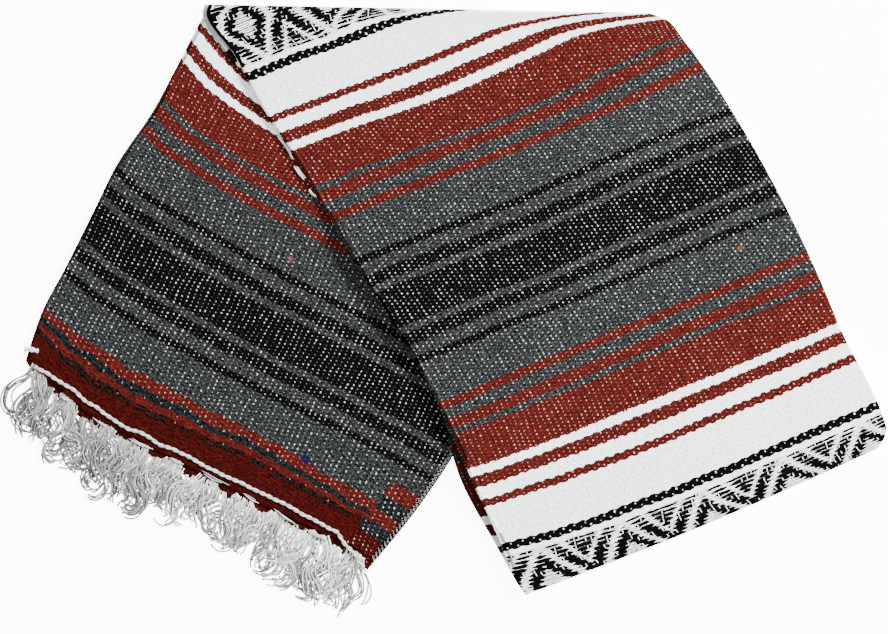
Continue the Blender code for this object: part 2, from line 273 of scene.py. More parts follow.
def build_left_cloth():
    places, lengths = measure_plan(LEFT_PLAN)
    length = lengths[-1]
    normal = end_normal()
    last = length - UPPER_PLY_SHORT - 0.0006
    steps = [(distance, STACK, 0.0) for distance in np.linspace(0, last, LEFT_LINES)]
    for before_end, top, base in UPPER_PLY_EDGE + LOWER_PLY_EDGE:
        steps.append((length - before_end, top, base))
    rings, across, along, from_selvage = [], [], [], []
    for distance, top, base in steps:
        row = read_plan(LEFT_PLAN, np.interp(distance, lengths, places))
        weight = smooth(distance, length - WAVE_REACH, length)
        calm = smooth(length - distance, 0.0, CALM_REACH) * smooth(distance, 0.0, CALM_REACH)

        def heights(x, y, top=top, base=base, calm=calm):
            rise = swell_at(x, y) - dip_at(LEFT_DIPS, x, y)
            return top + rise * calm, np.full_like(x, base)

        def bow(share, weight=weight):
            return end_outset(share) * weight

        right_noses = ((PLY, SELVAGE_SET_BACK), (PAIR, 0.0))
        left, right = row_ends(row)
        points, distances, _ = ring_points(
            left, right, heights, ((STACK, 0.0),), right_noses, bow, normal
        )
        share = distances / np.linalg.norm(right - left)
        rings.append(points)
        across.append(distances)
        straight_v = row[LEFT_V] * (1 - share) + row[RIGHT_V] * share
        bow_v = LEFT_BOW * np.cos(math.pi * (share - LEFT_BOW_PEAK) / LEFT_BOW_SPAN)
        at_fold = 0.4 + 0.6 * smooth(share, -0.02, 0.10)
        at_top = 0.5 + 0.5 * smooth(distance, 0.05, 0.20)
        bow_v *= np.where(bow_v > 0, at_fold * at_top, smooth(straight_v, -0.51, -0.45))
        along.append(straight_v + bow_v)
        from_selvage.append(np.linalg.norm(right - left) - distances)
    return skin("left_cloth", rings, across, along, from_selvage)


left_cloth = build_left_cloth()
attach(left_cloth, "root")
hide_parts("left_stretch")


# The second stretch. The strip turns over at the top fold, comes down over the first to the right
# and is tucked back under itself at the low fold: three plies, then six where the end lies under.
TOP_FOLD_HEIGHT = STACK_STEP + STACK
LOW_FOLD_HEIGHT = 2 * STACK
NOSE_WALL = 0.009
LOW_BULGE = 0.0045
LOW_BULGE_REACH = 0.08
LOW_OUTWARD = np.array((0.37, -0.93))
LOW_FOLD_V = 0.633
TUCK_SLIP = 0.054
RIGHT_LINES = 200

# The stripes sag towards the low fold: near it, all down the strip, most in the strip's middle,
# and under the top fold
LOW_SAG = 0.0080
RIGHT_SET_BACK = 0.0038
RIGHT_BOW = 0.0048
RIGHT_BOW_PEAK = 0.43
RIGHT_BOW_WIDTH = 0.20
TOP_BOW = 0.0065

# Where the tucked end starts under the stretch, and how far past the left stretch's edge the
# under and upper faces come down
TUCK_END_X = -0.136
TUCK_END_Y = 0.116
TUCK_SLANT = math.radians(22)
TUCK_RAMP = 0.045
BASE_RAMP = (0.034, 0.072)
TOP_RAMP = (0.016, 0.092)

RIGHT_PLAN = (
    (-255, 334, -87, 213, 325, 62, 0),
    (-257, 321, -74, 236, 315, 101, 0),
    (-247, 304, -55, 251, 296, 144, 0),
    (-228, 281, -25, 271, 270, 178, 0),
    (-198, 224, 39, 299, 226, 227, -2),
    (-154, 157, 120, 332, 170, 295, -3),
    (-108, 73, 216, 364, 110, 361, -3),
    (-59, -6, 309, 394, 46, 433, -2),
    (-12, -88, 402, 422, -20, 509, 1),
    (24, -170, 503, 447, -67, 558, 11),
    (56, -240, 578, 462, -101, 593, 6),
    (70, -277, 618, 467, -122, 617, 0),
    (83, -296, 641, 458, -140, 639, 0),
)
RIGHT_DIPS = (
    (0.060, 0.215, 0.210, 0.032, 14, 0.0011),
    (0.250, 0.085, 0.130, 0.036, -58, 0.0012),
    (0.130, -0.070, 0.170, 0.030, 20, 0.0010),
    (0.330, -0.070, 0.110, 0.026, -62, 0.0010),
    (0.145, -0.190, 0.100, 0.028, 24, 0.0012),
    (-0.050, 0.150, 0.060, 0.014, -60, 0.0007),
    (0.020, 0.020, 0.050, 0.012, 15, 0.0006),
)


def past_left_stretch(x, y):
    """Distance by which each point lies past the right edge of the left stretch."""
    rows = np.array(LEFT_PLAN, float)[::-1] * MM
    edge_x = np.interp(y, rows[:, RIGHT_Y], rows[:, RIGHT_X])
    rise_x, rise_y = row_ends(rows[-1])[1] - row_ends(rows[0])[1]
    return (x - edge_x) * rise_y / np.hypot(rise_x, rise_y)


def tucked_share(x, y):
    """1 where the tucked end lies under the right stretch, and 0 above its edge."""
    below = (x - TUCK_END_X) * math.sin(TUCK_SLANT) - (y - TUCK_END_Y) * math.cos(TUCK_SLANT)
    return smooth(below, 0.0, TUCK_RAMP)


def fold_nose(distance, height):
    """Top and base of a half-round fold at a distance in from its outermost line."""
    radius = height / 2
    inside = min(distance, radius)
    half = max(math.sqrt(radius**2 - (radius - inside) ** 2), 0.0003)
    return radius + half, radius - half


def right_heights(distance, length):
    """The function that gives top and base of the right stretch along one line across it."""
    before_end = length - distance
    low_top, low_base = fold_nose(before_end, LOW_FOLD_HEIGHT)

    def heights(x, y):
        if distance <= NOSE_WALL:
            top, base = fold_nose(distance, TOP_FOLD_HEIGHT)
            return np.full_like(x, top), np.full_like(x, base)
        if before_end < LOW_FOLD_HEIGHT / 2:
            return np.full_like(x, low_top), np.full_like(x, low_base)
        past = past_left_stretch(x, y)
        base = STACK_STEP * (1 - smooth(past, *BASE_RAMP))
        top = STACK_STEP * (1 - smooth(past, *TOP_RAMP)) + STACK * (1 + tucked_share(x, y))
        calm = smooth(distance, NOSE_WALL, CALM_REACH)
        calm *= smooth(before_end, LOW_FOLD_HEIGHT / 2, CALM_REACH)
        return top + (swell_at(x, y) - dip_at(RIGHT_DIPS, x, y)) * calm, base

    return heights


def right_noses(distance, left, right, tuck_out):
    """Noses of the right stretch at its two edges: those of the tucked end fade out above it."""
    left_share, right_share = (
        1.0 if distance <= NOSE_WALL else max(float(tucked_share(*corner)), 0.02)
        for corner in (left, right)
    )
    hidden = (1 - left_share) * STACK / 2
    left_noses = ((STACK, 0.0), (STACK * left_share, hidden - tuck_out * left_share))
    hidden = (1 - right_share) * STACK / 2
    upper = ((PAIR, 0.0), (PLY, SELVAGE_SET_BACK))
    tucked = ((PLY * right_share, SELVAGE_SET_BACK + hidden), (PAIR * right_share, hidden))
    return left_noses, upper + tucked


def stripe_bow(distance, length, share):
    """How far the stripes sag towards the low fold from a straight line across the strip."""
    hump = np.sin(math.pi * np.clip(share, 0, 1) ** 0.7)
    bow = LOW_SAG * smooth(distance, length - 0.165, length - 0.055) * hump
    inside = smooth(distance, 0.0, 0.06) * smooth(length - distance, 0.02, 0.07)
    bow += RIGHT_SET_BACK * inside
    inside = smooth(distance, 0.06, 0.20) * smooth(length - distance, 0.18, 0.32)
    peak = np.exp(-(((share - RIGHT_BOW_PEAK) / RIGHT_BOW_WIDTH) ** 2))
    bow += RIGHT_BOW * inside * peak
    under_top = smooth(distance, 0.012, 0.045) * (1 - smooth(distance, 0.09, 0.20))
    return bow + TOP_BOW * under_top * np.sin(math.pi * np.clip(share, 0, 1)) ** 2


def build_right_cloth():
    places, lengths = measure_plan(RIGHT_PLAN)
    length = lengths[-1]
    turns = np.linspace(0, math.pi / 2, 9)
    top_nose = TOP_FOLD_HEIGHT / 2 * (1 - np.cos(turns))
    low_nose = length - LOW_FOLD_HEIGHT / 2 * (1 - np.cos(turns[::-1]))
    body = np.linspace(0.0094, length - 0.0105, RIGHT_LINES)
    lines = np.concatenate((top_nose, [0.0080, NOSE_WALL], body, [length - 0.008], low_nose))
    rings, across, along, from_selvage = [], [], [], []
    first_v = read_plan(RIGHT_PLAN, 0.0)
    for distance in lines:
        row = read_plan(RIGHT_PLAN, np.interp(distance, lengths, places))
        left, right = row_ends(row)
        left_noses, right_side = right_noses(distance, left, right, row[TUCK_OUT])
        bulge = LOW_BULGE * smooth(distance, length - LOW_BULGE_REACH, length)

        def bow(share, bulge=bulge):
            return bulge * np.sin(math.pi * share)

        heights = right_heights(distance, length)
        points, distances, under = ring_points(
            left, right, heights, left_noses, right_side, bow, LOW_OUTWARD
        )
        share = distances / np.linalg.norm(right - left)
        over_v = row[LEFT_V] * (1 - share) + row[RIGHT_V] * share
        over_v = over_v - stripe_bow(distance, length, share)
        fold_v = first_v[LEFT_V] * (1 - share) + first_v[RIGHT_V] * share
        slip = 0.0
        if distance > length / 2:
            fold_v = np.full_like(share, LOW_FOLD_V)
            slip = TUCK_SLIP * smooth(length - distance, 0, 0.04) * (1 - share)
        rings.append(points)
        across.append(distances)
        along.append(np.where(under > 0.5, 2 * fold_v - over_v + slip, over_v))
        from_selvage.append(np.linalg.norm(right - left) - distances)
    return skin("right_cloth", rings, across, along, from_selvage)


right_cloth = build_right_cloth()
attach(right_cloth, "root")
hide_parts("right_stretch")


# The weave and its colours: weft bands of wool in brick red, heather grey, black and white, the
# white warp showing as a dot wherever it crosses over, black rope lines, and between each two of
# them a band of nested black chevrons. Worked out from the cloth's own map, in metres.
STRIPES = (
    (0.0225, "black"), (0.0080, "grey"), (0.0130, "black"), (0.0135, "grey"),
    (0.0075, "black"), (0.0455, "grey"), (0.0100, "red"), (0.0130, "grey"),
    (0.0130, "red"), (0.0075, "grey"), (0.0450, "red"), (0.0100, "white"),
    (0.0130, "red"), (0.0130, "white"), (0.0080, "red"), (0.0560, "white"),
)
END_STRIPES = (
    (0.0380, "end red"), (0.0020, "end grey"), (0.0009, "end red"), (0.0022, "end grey"),
    (0.0058, "red"), (0.0058, "teal"), (0.0093, "red"), (0.0360, "grey"),
)
SELVAGE_STRIPES = (
    (0.0320, "end red"), (0.0130, "teal"), (0.0150, "red"),
    (0.0130, "teal"), (0.0140, "red"), (0.0030, "grey"),
)
COLOURS = {
    "black": (0.0022, 0.0022, 0.0023),
    "rope black": (0.0018, 0.0018, 0.0019),
    "grey": (0.0148, 0.0159, 0.0159),
    "teal": (0.0062, 0.0080, 0.0083),
    "red": (0.0450, 0.0058, 0.0048),
    "end red": (0.0255, 0.0028, 0.0023),
    "end grey": (0.0050, 0.0042, 0.0036),
    "white": (0.93, 0.95, 0.95),
}
BLACK_CENTRE = 0.2905
HALF_REPEAT = 0.3425
END_BAND = 0.10
SELVAGE_BAND = 0.041
SMOOTH_END = 0.0545
SPARSE_END = 0.042
BROKEN_LINE = 0.041
BROKEN_REACH = 0.003
OVERLOCK_BAND = 0.0066
OVERLOCK_FROM = 0.012
# Painted shadow on the wool under the overlock: its band, where it starts, and how much darker
OVERLOCK_PAINTED_SHADOW = -0.85

# How far the yarns stray: weft along the blanket, warp across it, stripe edges from warp to warp
WEFT_WANDER = 0.004
WEFT_RAGGED = 0.0016
WARP_WANDER = 0.007
EDGE_STEP = 0.0011
END_WANDER = 0.010
END_RAGGED = 0.003
SELVAGE_RAGGED = 0.004
PICK = 0.0022
PICK_REACH = 0.006

# Warp dots: how far apart, how big, and their colours
WARP_PITCH = 0.00575
DOT_PITCH = 0.0043
DOT_RAGGED = 0.6
DOT_ACROSS = 0.00066
DOT_ALONG = 0.00074
DOT_COLOUR = (0.44, 0.44, 0.43)
DOT_IN_RED = (0.46, 0.25, 0.20)

# Heather wool lies between these two tints. Its streaks and flecks, and the finer streaks of the
# smooth end, as their number to a metre across and along.
WARM_TINT = (1.30, 0.94, 0.97)
COOL_TINT = (0.68, 1.06, 1.06)
STREAKS = (90.0, 480.0)
FLECKS = (330.0, 620.0)
THIN_STREAKS = (110.0, 1300.0)

# Rope lines, and the rows of the chevron band that starts beside each
ROPE_AT = 0.2905
ROPE_HALF = 0.0047
ROPE_TURN = 0.0007
ROPE_DOT_SIDE = 0.0019
MOTIF_START = 0.0105
MOTIF_ROW = 0.0045
MOTIF_COLUMNS = 8.0
MOTIF_STEP = 0.62
MOTIF_SHIFT = 0.0069
MOTIF_EDGE = 0.0045
MOTIF_RAGGED = 0.006
# Painted shade in the grooves between the chevron band's rows
ROW_GROOVE_SHADE_COLOUR = (0.055, 0.055, 0.060)
# Painted shadow on the tucked end, where it shows past the right stretch's edge
TUCKED_FROM = -0.0004
TUCKED_PAINTED_SHADOW = -0.5

# Thickness of the black float, as a share of the row, by columns out from the middle of a chevron
CHEVRON_REACH = 16.0
CHEVRON_FLOATS = (
    (0.0, 0.56), (2.6, 0.54), (3.5, 0.06), (3.8, 0.06), (4.7, 0.54), (6.4, 0.54),
    (7.3, 0.08), (8.1, 0.08), (9.0, 0.54), (10.5, 0.54), (11.3, 0.14),
)

# Stray tufts of other wool spun into the yarn: place, radius and colour
NEPS = (
    ((-0.168, 0.062, 0.0068), 0.0034, (0.110, 0.030, 0.050)),
    ((0.311, 0.073, 0.0130), 0.0036, (0.130, 0.034, 0.014)),
    ((-0.152, -0.151, 0.0068), 0.0056, (0.0015, 0.0040, 0.026)),
)
NEP_RAGGED = 0.008
NEP_SOFT_EDGE = 0.002
NEP_COVER = 0.85


def put(tree, socket, value):
    """Sets a node's input to a number or a colour, or links it to another node's result."""
    if isinstance(value, Value):
        tree.links.new(value.socket, socket)
    elif isinstance(value, tuple):
        socket.default_value = (*value, 1)[: len(socket.default_value)]
    else:
        socket.default_value = value


def add_node(tree, kind, *values, output=0, **settings):
    """The result of a new node, from its inputs in order, None for one that stays as it is."""
    node = tree.nodes.new("ShaderNode" + kind)
    for name, setting in settings.items():
        setattr(node, name, setting)
    for socket, value in zip(node.inputs, values):
        if value is not None:
            put(tree, socket, value)
    return Value(tree, node.outputs[output])


def maths(operation):
    """A method of Value: the maths node with this operation."""
    return lambda value, *others: add_node(value.tree, "Math", value, *others, operation=operation)


class Value:
    """A number or colour that a material's nodes work out, with the usual signs for sums.

    A comparison gives 1 where it holds and 0 elsewhere.
    """

    def __init__(self, tree, socket):
        self.tree = tree
        self.socket = socket

    def __rsub__(self, other):
        return add_node(self.tree, "Math", other, self, operation="SUBTRACT")

    __add__ = maths("ADD")
    __sub__ = maths("SUBTRACT")
    __mul__ = maths("MULTIPLY")
    __truediv__ = maths("DIVIDE")
    __mod__ = maths("MODULO")
    __pow__ = maths("POWER")
    __abs__ = maths("ABSOLUTE")
    __lt__ = maths("LESS_THAN")
    __gt__ = maths("GREATER_THAN")
    at_least = maths("MAXIMUM")
    at_most = maths("MINIMUM")
    near = maths("COMPARE")
    floor = maths("FLOOR")
    fraction = maths("FRACT")
    mirrored = maths("PINGPONG")
    sine = maths("SINE")
    cosine = maths("COSINE")


def join(x, y, z=0.0):
    return add_node(x.tree, "CombineXYZ", x, y, z)


def noise(place, scale, detail=2.0):
    return add_node(place.tree, "TexNoise", place, None, scale, detail, output="Fac")


def streaks(across, along, counts, detail):
    return noise(join(across * counts[0], along * counts[1]), 1.0, detail)


def random_of(place):
    return add_node(place.tree, "TexWhiteNoise", place, output="Value")


def attribute(tree, name):
    return add_node(tree, "Attribute", attribute_name=name, output="Fac")


def mix(share, under, over):
    """The colour under, covered by the colour over as far as share says."""
    unused = (None,) * 5
    return add_node(share.tree, "Mix", share, *unused, under, over, data_type="RGBA", output=2)


def shaded(colour, amount):
    return add_node(amount.tree, "VectorMath", colour, None, None, amount, operation="SCALE")


def colour_ramp(place, stops, interpolation):
    """A colour for each place from 0 to 1, from (place, colour) stops."""
    node = place.tree.nodes.new("ShaderNodeValToRGB")
    node.color_ramp.interpolation = interpolation
    points = node.color_ramp.elements
    for number, (position, colour) in enumerate(stops):
        point = points[number] if number < 2 else points.new(position)
        point.position = position
        point.color = (*colour, 1)
    put(place.tree, node.inputs["Fac"], place)
    return Value(place.tree, node.outputs["Color"])


def stripe_colours(distance, stripes, whole):
    """Hard-edged bands: one for each (width, colour) stripe."""
    starts = [sum(width for width, _ in stripes[:number]) for number in range(len(stripes))]
    stops = [(start / whole, COLOURS[colour]) for start, (_, colour) in zip(starts, stripes)]
    return colour_ramp(distance / whole, stops, "CONSTANT")


def float_thickness(columns):
    """Thickness of the chevrons' floats, in soft steps."""
    stops = [(column / CHEVRON_REACH, (thick,) * 3) for column, thick in CHEVRON_FLOATS]
    return colour_ramp(columns / CHEVRON_REACH, stops, "LINEAR")


def ellipse(x, y):
    """1 inside the unit circle of (x, y) and 0 outside, with a soft edge."""
    return ((1.25 - (x * x + y * y)) * 2.0).at_least(0.0).at_most(1.0)


def new_material(name, roughness, gloss):
    material = bpy.data.materials.new(name)
    material.use_nodes = True
    shader = material.node_tree.nodes["Principled BSDF"]
    shader.inputs["Roughness"].default_value = roughness
    shader.inputs["Specular IOR Level"].default_value = gloss
    return material, material.node_tree, shader


def make_woven(name, with_end):
    """The cloth's look; with_end adds the plain red band of the fringed end and its selvage."""
    material, tree, shader = new_material(name, 0.95, 0.0)
    place = add_node(tree, "UVMap", uv_map="woven")
    across = add_node(tree, "SeparateXYZ", place)
    along = add_node(tree, "SeparateXYZ", place, output=1)

    # The yarns wander a little from their straight lines
    ragged = noise(place, 260) - 0.5
    length = along + ((noise(place, 22) - 0.5) * WEFT_WANDER + ragged * WEFT_RAGGED)
    column = (across + noise(place, 30) * WARP_WANDER) / WARP_PITCH
    number = column.floor()
    parity = abs(number) % 2.0
    in_column = column.fraction() - 0.5

    # Stripes, mirrored about the middle of each wide black band and of each chevron band, their
    # edges stepped from warp to warp
    off_centre = (length - BLACK_CENTRE).mirrored(HALF_REPEAT)
    colour = stripe_colours(off_centre + parity * EDGE_STEP, STRIPES, HALF_REPEAT)
    if with_end:
        end_wave = (noise(place, 42) - 0.5) * END_WANDER
        from_end = length - END_V + end_wave + ragged * END_RAGGED
        end_colour = stripe_colours(from_end, END_STRIPES, END_BAND)
        broken = noise(join(across * 75.0, 0.5), 1.0) < 0.42
        broken = broken * (abs(from_end - BROKEN_LINE) < BROKEN_REACH)
        end_colour = mix(broken, end_colour, COLOURS["end red"])
        from_selvage = attribute(tree, "from_selvage")
        stray = random_of(join((along / PICK).floor(), 3.0)) * PICK_REACH
        at_selvage = from_selvage + ragged * SELVAGE_RAGGED + stray < SELVAGE_BAND
        selvage_colour = stripe_colours(from_end, SELVAGE_STRIPES, END_BAND)
        end_colour = mix(at_selvage, end_colour, selvage_colour)
        colour = mix(from_end < END_BAND, colour, end_colour)

    # Warp dots, staggered from column to column, each of its own size and brightness
    row = along / DOT_PITCH + parity * 0.5 + ragged * DOT_RAGGED
    dot_x = in_column * (WARP_PITCH / DOT_ACROSS)
    dot_y = (row.fraction() - 0.5) * (DOT_PITCH / DOT_ALONG)
    chance = random_of(join(number, row.floor()))
    shrink = 1.35 - chance * 0.6
    dot = ellipse(dot_x * shrink, dot_y * shrink) * (chance**1.5 * 0.88 + 0.12)
    if with_end:
        few = (from_end > SPARSE_END) * chance.near(0.52, 0.10)
        dot = dot * (from_end > SMOOTH_END).at_least(few.at_least(at_selvage))

    # Wool shade: streaks from yarn to yarn, and the flecks and tints of heather wool; white wool
    # is calmer
    streak = streaks(across, length, STREAKS, 3.0)
    fleck = streaks(across, length, FLECKS, 2.0) - 0.5
    red, green = (
        add_node(tree, "SeparateColor", colour, output=channel) for channel in ("Red", "Green")
    )
    pale = green > 0.3
    reddish = red > green * 3.0
    shade = streak * 1.7 - 0.15 + noise(place, 60, 3.0) * 0.6
    shade = shade * (fleck * (7.0 - reddish * 4.0) + 1.0)
    if with_end:
        thin = streaks(across, length, THIN_STREAKS, 3.0) * 2.6 - 1.3
        shade = shade * (thin * (from_end < SMOOTH_END) + 1.0)
    shade = shade.at_least(0.10)
    calm_shade = (streak * 0.60 + 0.62 + fleck * 2.2).at_least(0.3).at_most(1.0)
    colour = shaded(colour, shade + (calm_shade - shade) * pale)
    tint = mix(pale, mix(noise(place, 190), WARM_TINT, COOL_TINT), (1.0, 1.0, 1.0))
    colour = add_node(tree, "VectorMath", colour, tint, operation="MULTIPLY")
    colour = mix(dot * (1.0 - pale), colour, mix(reddish, DOT_COLOUR, DOT_IN_RED))
    if with_end:
        # Painted shadow: the wool under the overlock beside the fringed end drawn darker
        overlock_shadow = (from_selvage < OVERLOCK_BAND) * (from_end > OVERLOCK_FROM)
        colour = shaded(colour, overlock_shadow * OVERLOCK_PAINTED_SHADOW + 1.0)

    # Rope lines: a thick black yarn with one warp dot a column, left and right of its middle
    off_rope = off_centre - ROPE_AT
    turn = (column * math.pi).cosine() * ROPE_TURN
    rope = abs(off_rope + turn) < ROPE_HALF
    rope_y = (off_rope - (parity * (2 * ROPE_DOT_SIDE) - ROPE_DOT_SIDE)) / DOT_ALONG
    rope_shrink = chance * 0.7 + 0.6
    rope_dot = ellipse(dot_x * rope_shrink, rope_y * rope_shrink) * (0.85 - chance * 0.6)
    colour = mix(rope, colour, mix(rope_dot, COLOURS["rope black"], COLOURS["white"]))

    # Chevrons: in each row of picks, black floats that step sideways from row to row, with grey
    # painted shade in the groove between rows and here and there a warp yarn over a float
    from_rope = off_rope - MOTIF_START
    in_motif = from_rope > 0.0
    motif_row = from_rope / MOTIF_ROW
    row_number = motif_row.floor()
    off_row = abs(motif_row.fraction() - 0.5)
    chevron = (column + MOTIF_SHIFT / WARP_PITCH).mirrored(MOTIF_COLUMNS)
    thick = float_thickness(row_number * MOTIF_STEP + chevron + ragged * 1.1)
    luck = random_of(join(number, row_number, 7.0))
    thick = thick * (row_number * 0.12 + 0.60).at_most(1.1) * (luck * 0.28 + 0.84)
    warp_tick = (abs(in_column) < 0.07) * (luck > 0.72)
    dash = (off_row < thick) * (1.0 - warp_tick)
    row_groove_shade = (off_row > 0.40) * (luck > 0.35)
    colour = mix(row_groove_shade * in_motif * 0.94, colour, ROW_GROOVE_SHADE_COLOUR)
    if not with_end:
        dash = dash.at_least((across + ragged * MOTIF_RAGGED < MOTIF_EDGE) * (along < 0.1))
    colour = mix(dash * in_motif, colour, COLOURS["rope black"])
    # Painted shadow: the tucked end, lying in the right stretch's shade, drawn half as bright
    if not with_end:
        colour = shaded(colour, (across < TUCKED_FROM) * TUCKED_PAINTED_SHADOW + 1.0)

    # Neps
    spot = add_node(tree, "TexCoord", output="Object")
    for middle, radius, nep_colour in NEPS:
        away = add_node(tree, "VectorMath", spot, middle, operation="DISTANCE", output="Value")
        cover = (radius - (away + ragged * NEP_RAGGED)) / NEP_SOFT_EDGE
        cover = cover.at_least(0.0).at_most(NEP_COVER)
        colour = mix(cover * (1.0 - dot), colour, nep_colour)
    put(tree, shader.inputs["Base Color"], colour)

    # Relief of the picks and the warp dots
    ribs = (row * (4 * math.pi)).sine()
    bump = tree.nodes.new("ShaderNodeBump")
    bump.inputs["Strength"].default_value = 0.6
    bump.inputs["Distance"].default_value = 0.0010
    put(tree, bump.inputs["Height"], streak + ribs * 0.18 + fleck * 0.9 + dot * 0.5)
    tree.links.new(bump.outputs[0], shader.inputs["Normal"])
    return material


left_cloth.data.materials.append(make_woven("woven_wool_with_end", True))
right_cloth.data.materials.append(make_woven("woven_wool", False))


# Near fringe: the cotton warp ends, 80 mm of loose yarn about 1.8 mm thick. They leave the cloth
# in flat ribbons of combed yarns that meander, cross and tangle, and lie on the floor: a dense tier
# out of the two lower plies, and over it a thick bundle every 38 mm out of the upper ply.
OUTLINE_SHARES = (0, 0.07, 0.15, 0.25, 0.35, 0.45, 0.52, 0.57, 0.65, 0.73, 0.78, 0.85, 0.92, 1)
OUTLINE_X = (-462, -452, -424, -388, -360, -328, -290, -277, -245, -224, -211, -168, -134, -112)
OUTLINE_Y = (-120, -140, -166, -186, -203, -210, -212, -236, -252, -260, -277, -300, -318, -331)
BUNDLE_SHARES = (0.045, 0.14, 0.26, 0.355, 0.45, 0.545, 0.645, 0.74, 0.85, 0.955)
LOWER_RIBBONS = 62
LOWER_YARNS = (5, 6, 7)
LOWER_ROOT_HEIGHT = 0.0050
UPPER_YARNS = 6
UPPER_ROOT_HEIGHT = 0.0058
RIBBONS_IN_BUNDLE = 4
RIBBON_APART = 0.011
RIBBON_FAN = 0.035
YARN_RADIUS = 0.00088
YARN_RINGS = 24
YARN_SIDES = 6
YARN_PITCH = 0.00185

# Painted shade on the cotton: darker down the flanks of a yarn, and deep in the fringe, where shade
# falls between and under the yarns
FLANK_PAINTED_SHADE = 0.07
LOW_PAINTED_SHADE = 0.34


def unit_steps(line):
    """The direction of a line at each of its points."""
    ahead = np.gradient(line, axis=0)
    return ahead / np.linalg.norm(ahead, axis=1)[:, None]


def aside_of(plan):
    """The direction to the right of a plan line at each of its points."""
    ahead = unit_steps(plan)
    return np.column_stack((ahead[:, 1], -ahead[:, 0]))


def tube(path, radius, sides, squash=1.0):
    """Points and faces of a closed tube along a path, flat ends included."""
    path = np.asarray(path, float)
    ahead = unit_steps(path)
    aside = np.cross(ahead, (0, 0, 1))
    aside /= np.linalg.norm(aside, axis=1)[:, None]
    upward = np.cross(aside, ahead)
    radius = np.broadcast_to(radius, (len(path),))[:, None]
    rings = []
    for side in range(sides):
        angle = 2 * math.pi * side / sides
        offset = aside * math.cos(angle) + upward * math.sin(angle) * squash
        rings.append(path + offset * radius)
    points = np.stack(rings, axis=1).reshape(-1, 3)
    faces = []
    for ring in range(len(path) - 1):
        for side in range(sides):
            near = ring * sides
            after = (side + 1) % sides
            faces.append((near + side, near + after, near + sides + after, near + sides + side))
    faces.append(tuple(range(sides - 1, -1, -1)))
    faces.append(tuple((len(path) - 1) * sides + side for side in range(sides)))
    return points, faces


def tubes_to_piece(name, parts, material, left_painted_shade=1.0):
    """One object of many tubes, each of its own random tone, with painted shade down its flanks,
    low in the fringe and to the left.
    """
    draw = random.Random(len(name))
    verts, faces, tones_and_painted_shades = [], [], []
    for points, sides in parts:
        start = len(verts)
        verts.extend(points.tolist())
        faces.extend(tuple(index + start for index in face) for face in sides)
        around = len(sides[-1])
        rings = points.reshape(-1, around, 3)
        height = rings[:, :, 2]
        lowest = height.min(axis=1, keepdims=True)
        lift = (height - lowest) / np.maximum(np.ptp(height, axis=1)[:, None], 1e-6)
        # Each yarn's random tone, times painted shade: darker down its flanks, near the floor and
        # towards the left
        shade = draw.uniform(0.30, 1.0) * (FLANK_PAINTED_SHADE + (1 - FLANK_PAINTED_SHADE) * smooth(lift, 0.4, 1.0))
        shade *= LOW_PAINTED_SHADE + (1 - LOW_PAINTED_SHADE) * smooth(height, 0.0015, 0.0062)
        shade *= left_painted_shade + (1 - left_painted_shade) * smooth(rings[:, :, 0], -0.43, -0.20)
        tones_and_painted_shades.append(shade.ravel())
    mesh = bpy.data.meshes.new(name)
    mesh.from_pydata(verts, [], faces)
    layer = mesh.attributes.new("yarn_tone_and_painted_shade", "FLOAT", "POINT")
    layer.data.foreach_set("value", np.concatenate(tones_and_painted_shades))
    mesh.shade_smooth()
    mesh.materials.append(material)
    return add_object(name, mesh)


def make_cotton(name, colour, unevenness):
    material, tree, shader = new_material(name, 0.9, 0.05)
    shade = noise(add_node(tree, "TexCoord", output="Object"), 140, 3.0)
    amount = shade * (2 * unevenness) + (1 - unevenness)
    # Each yarn's random tone with its painted shade, from the tubes' point attribute
    amount = amount * attribute(tree, "yarn_tone_and_painted_shade")
    put(tree, shader.inputs["Base Color"], shaded(colour, amount))
    return material


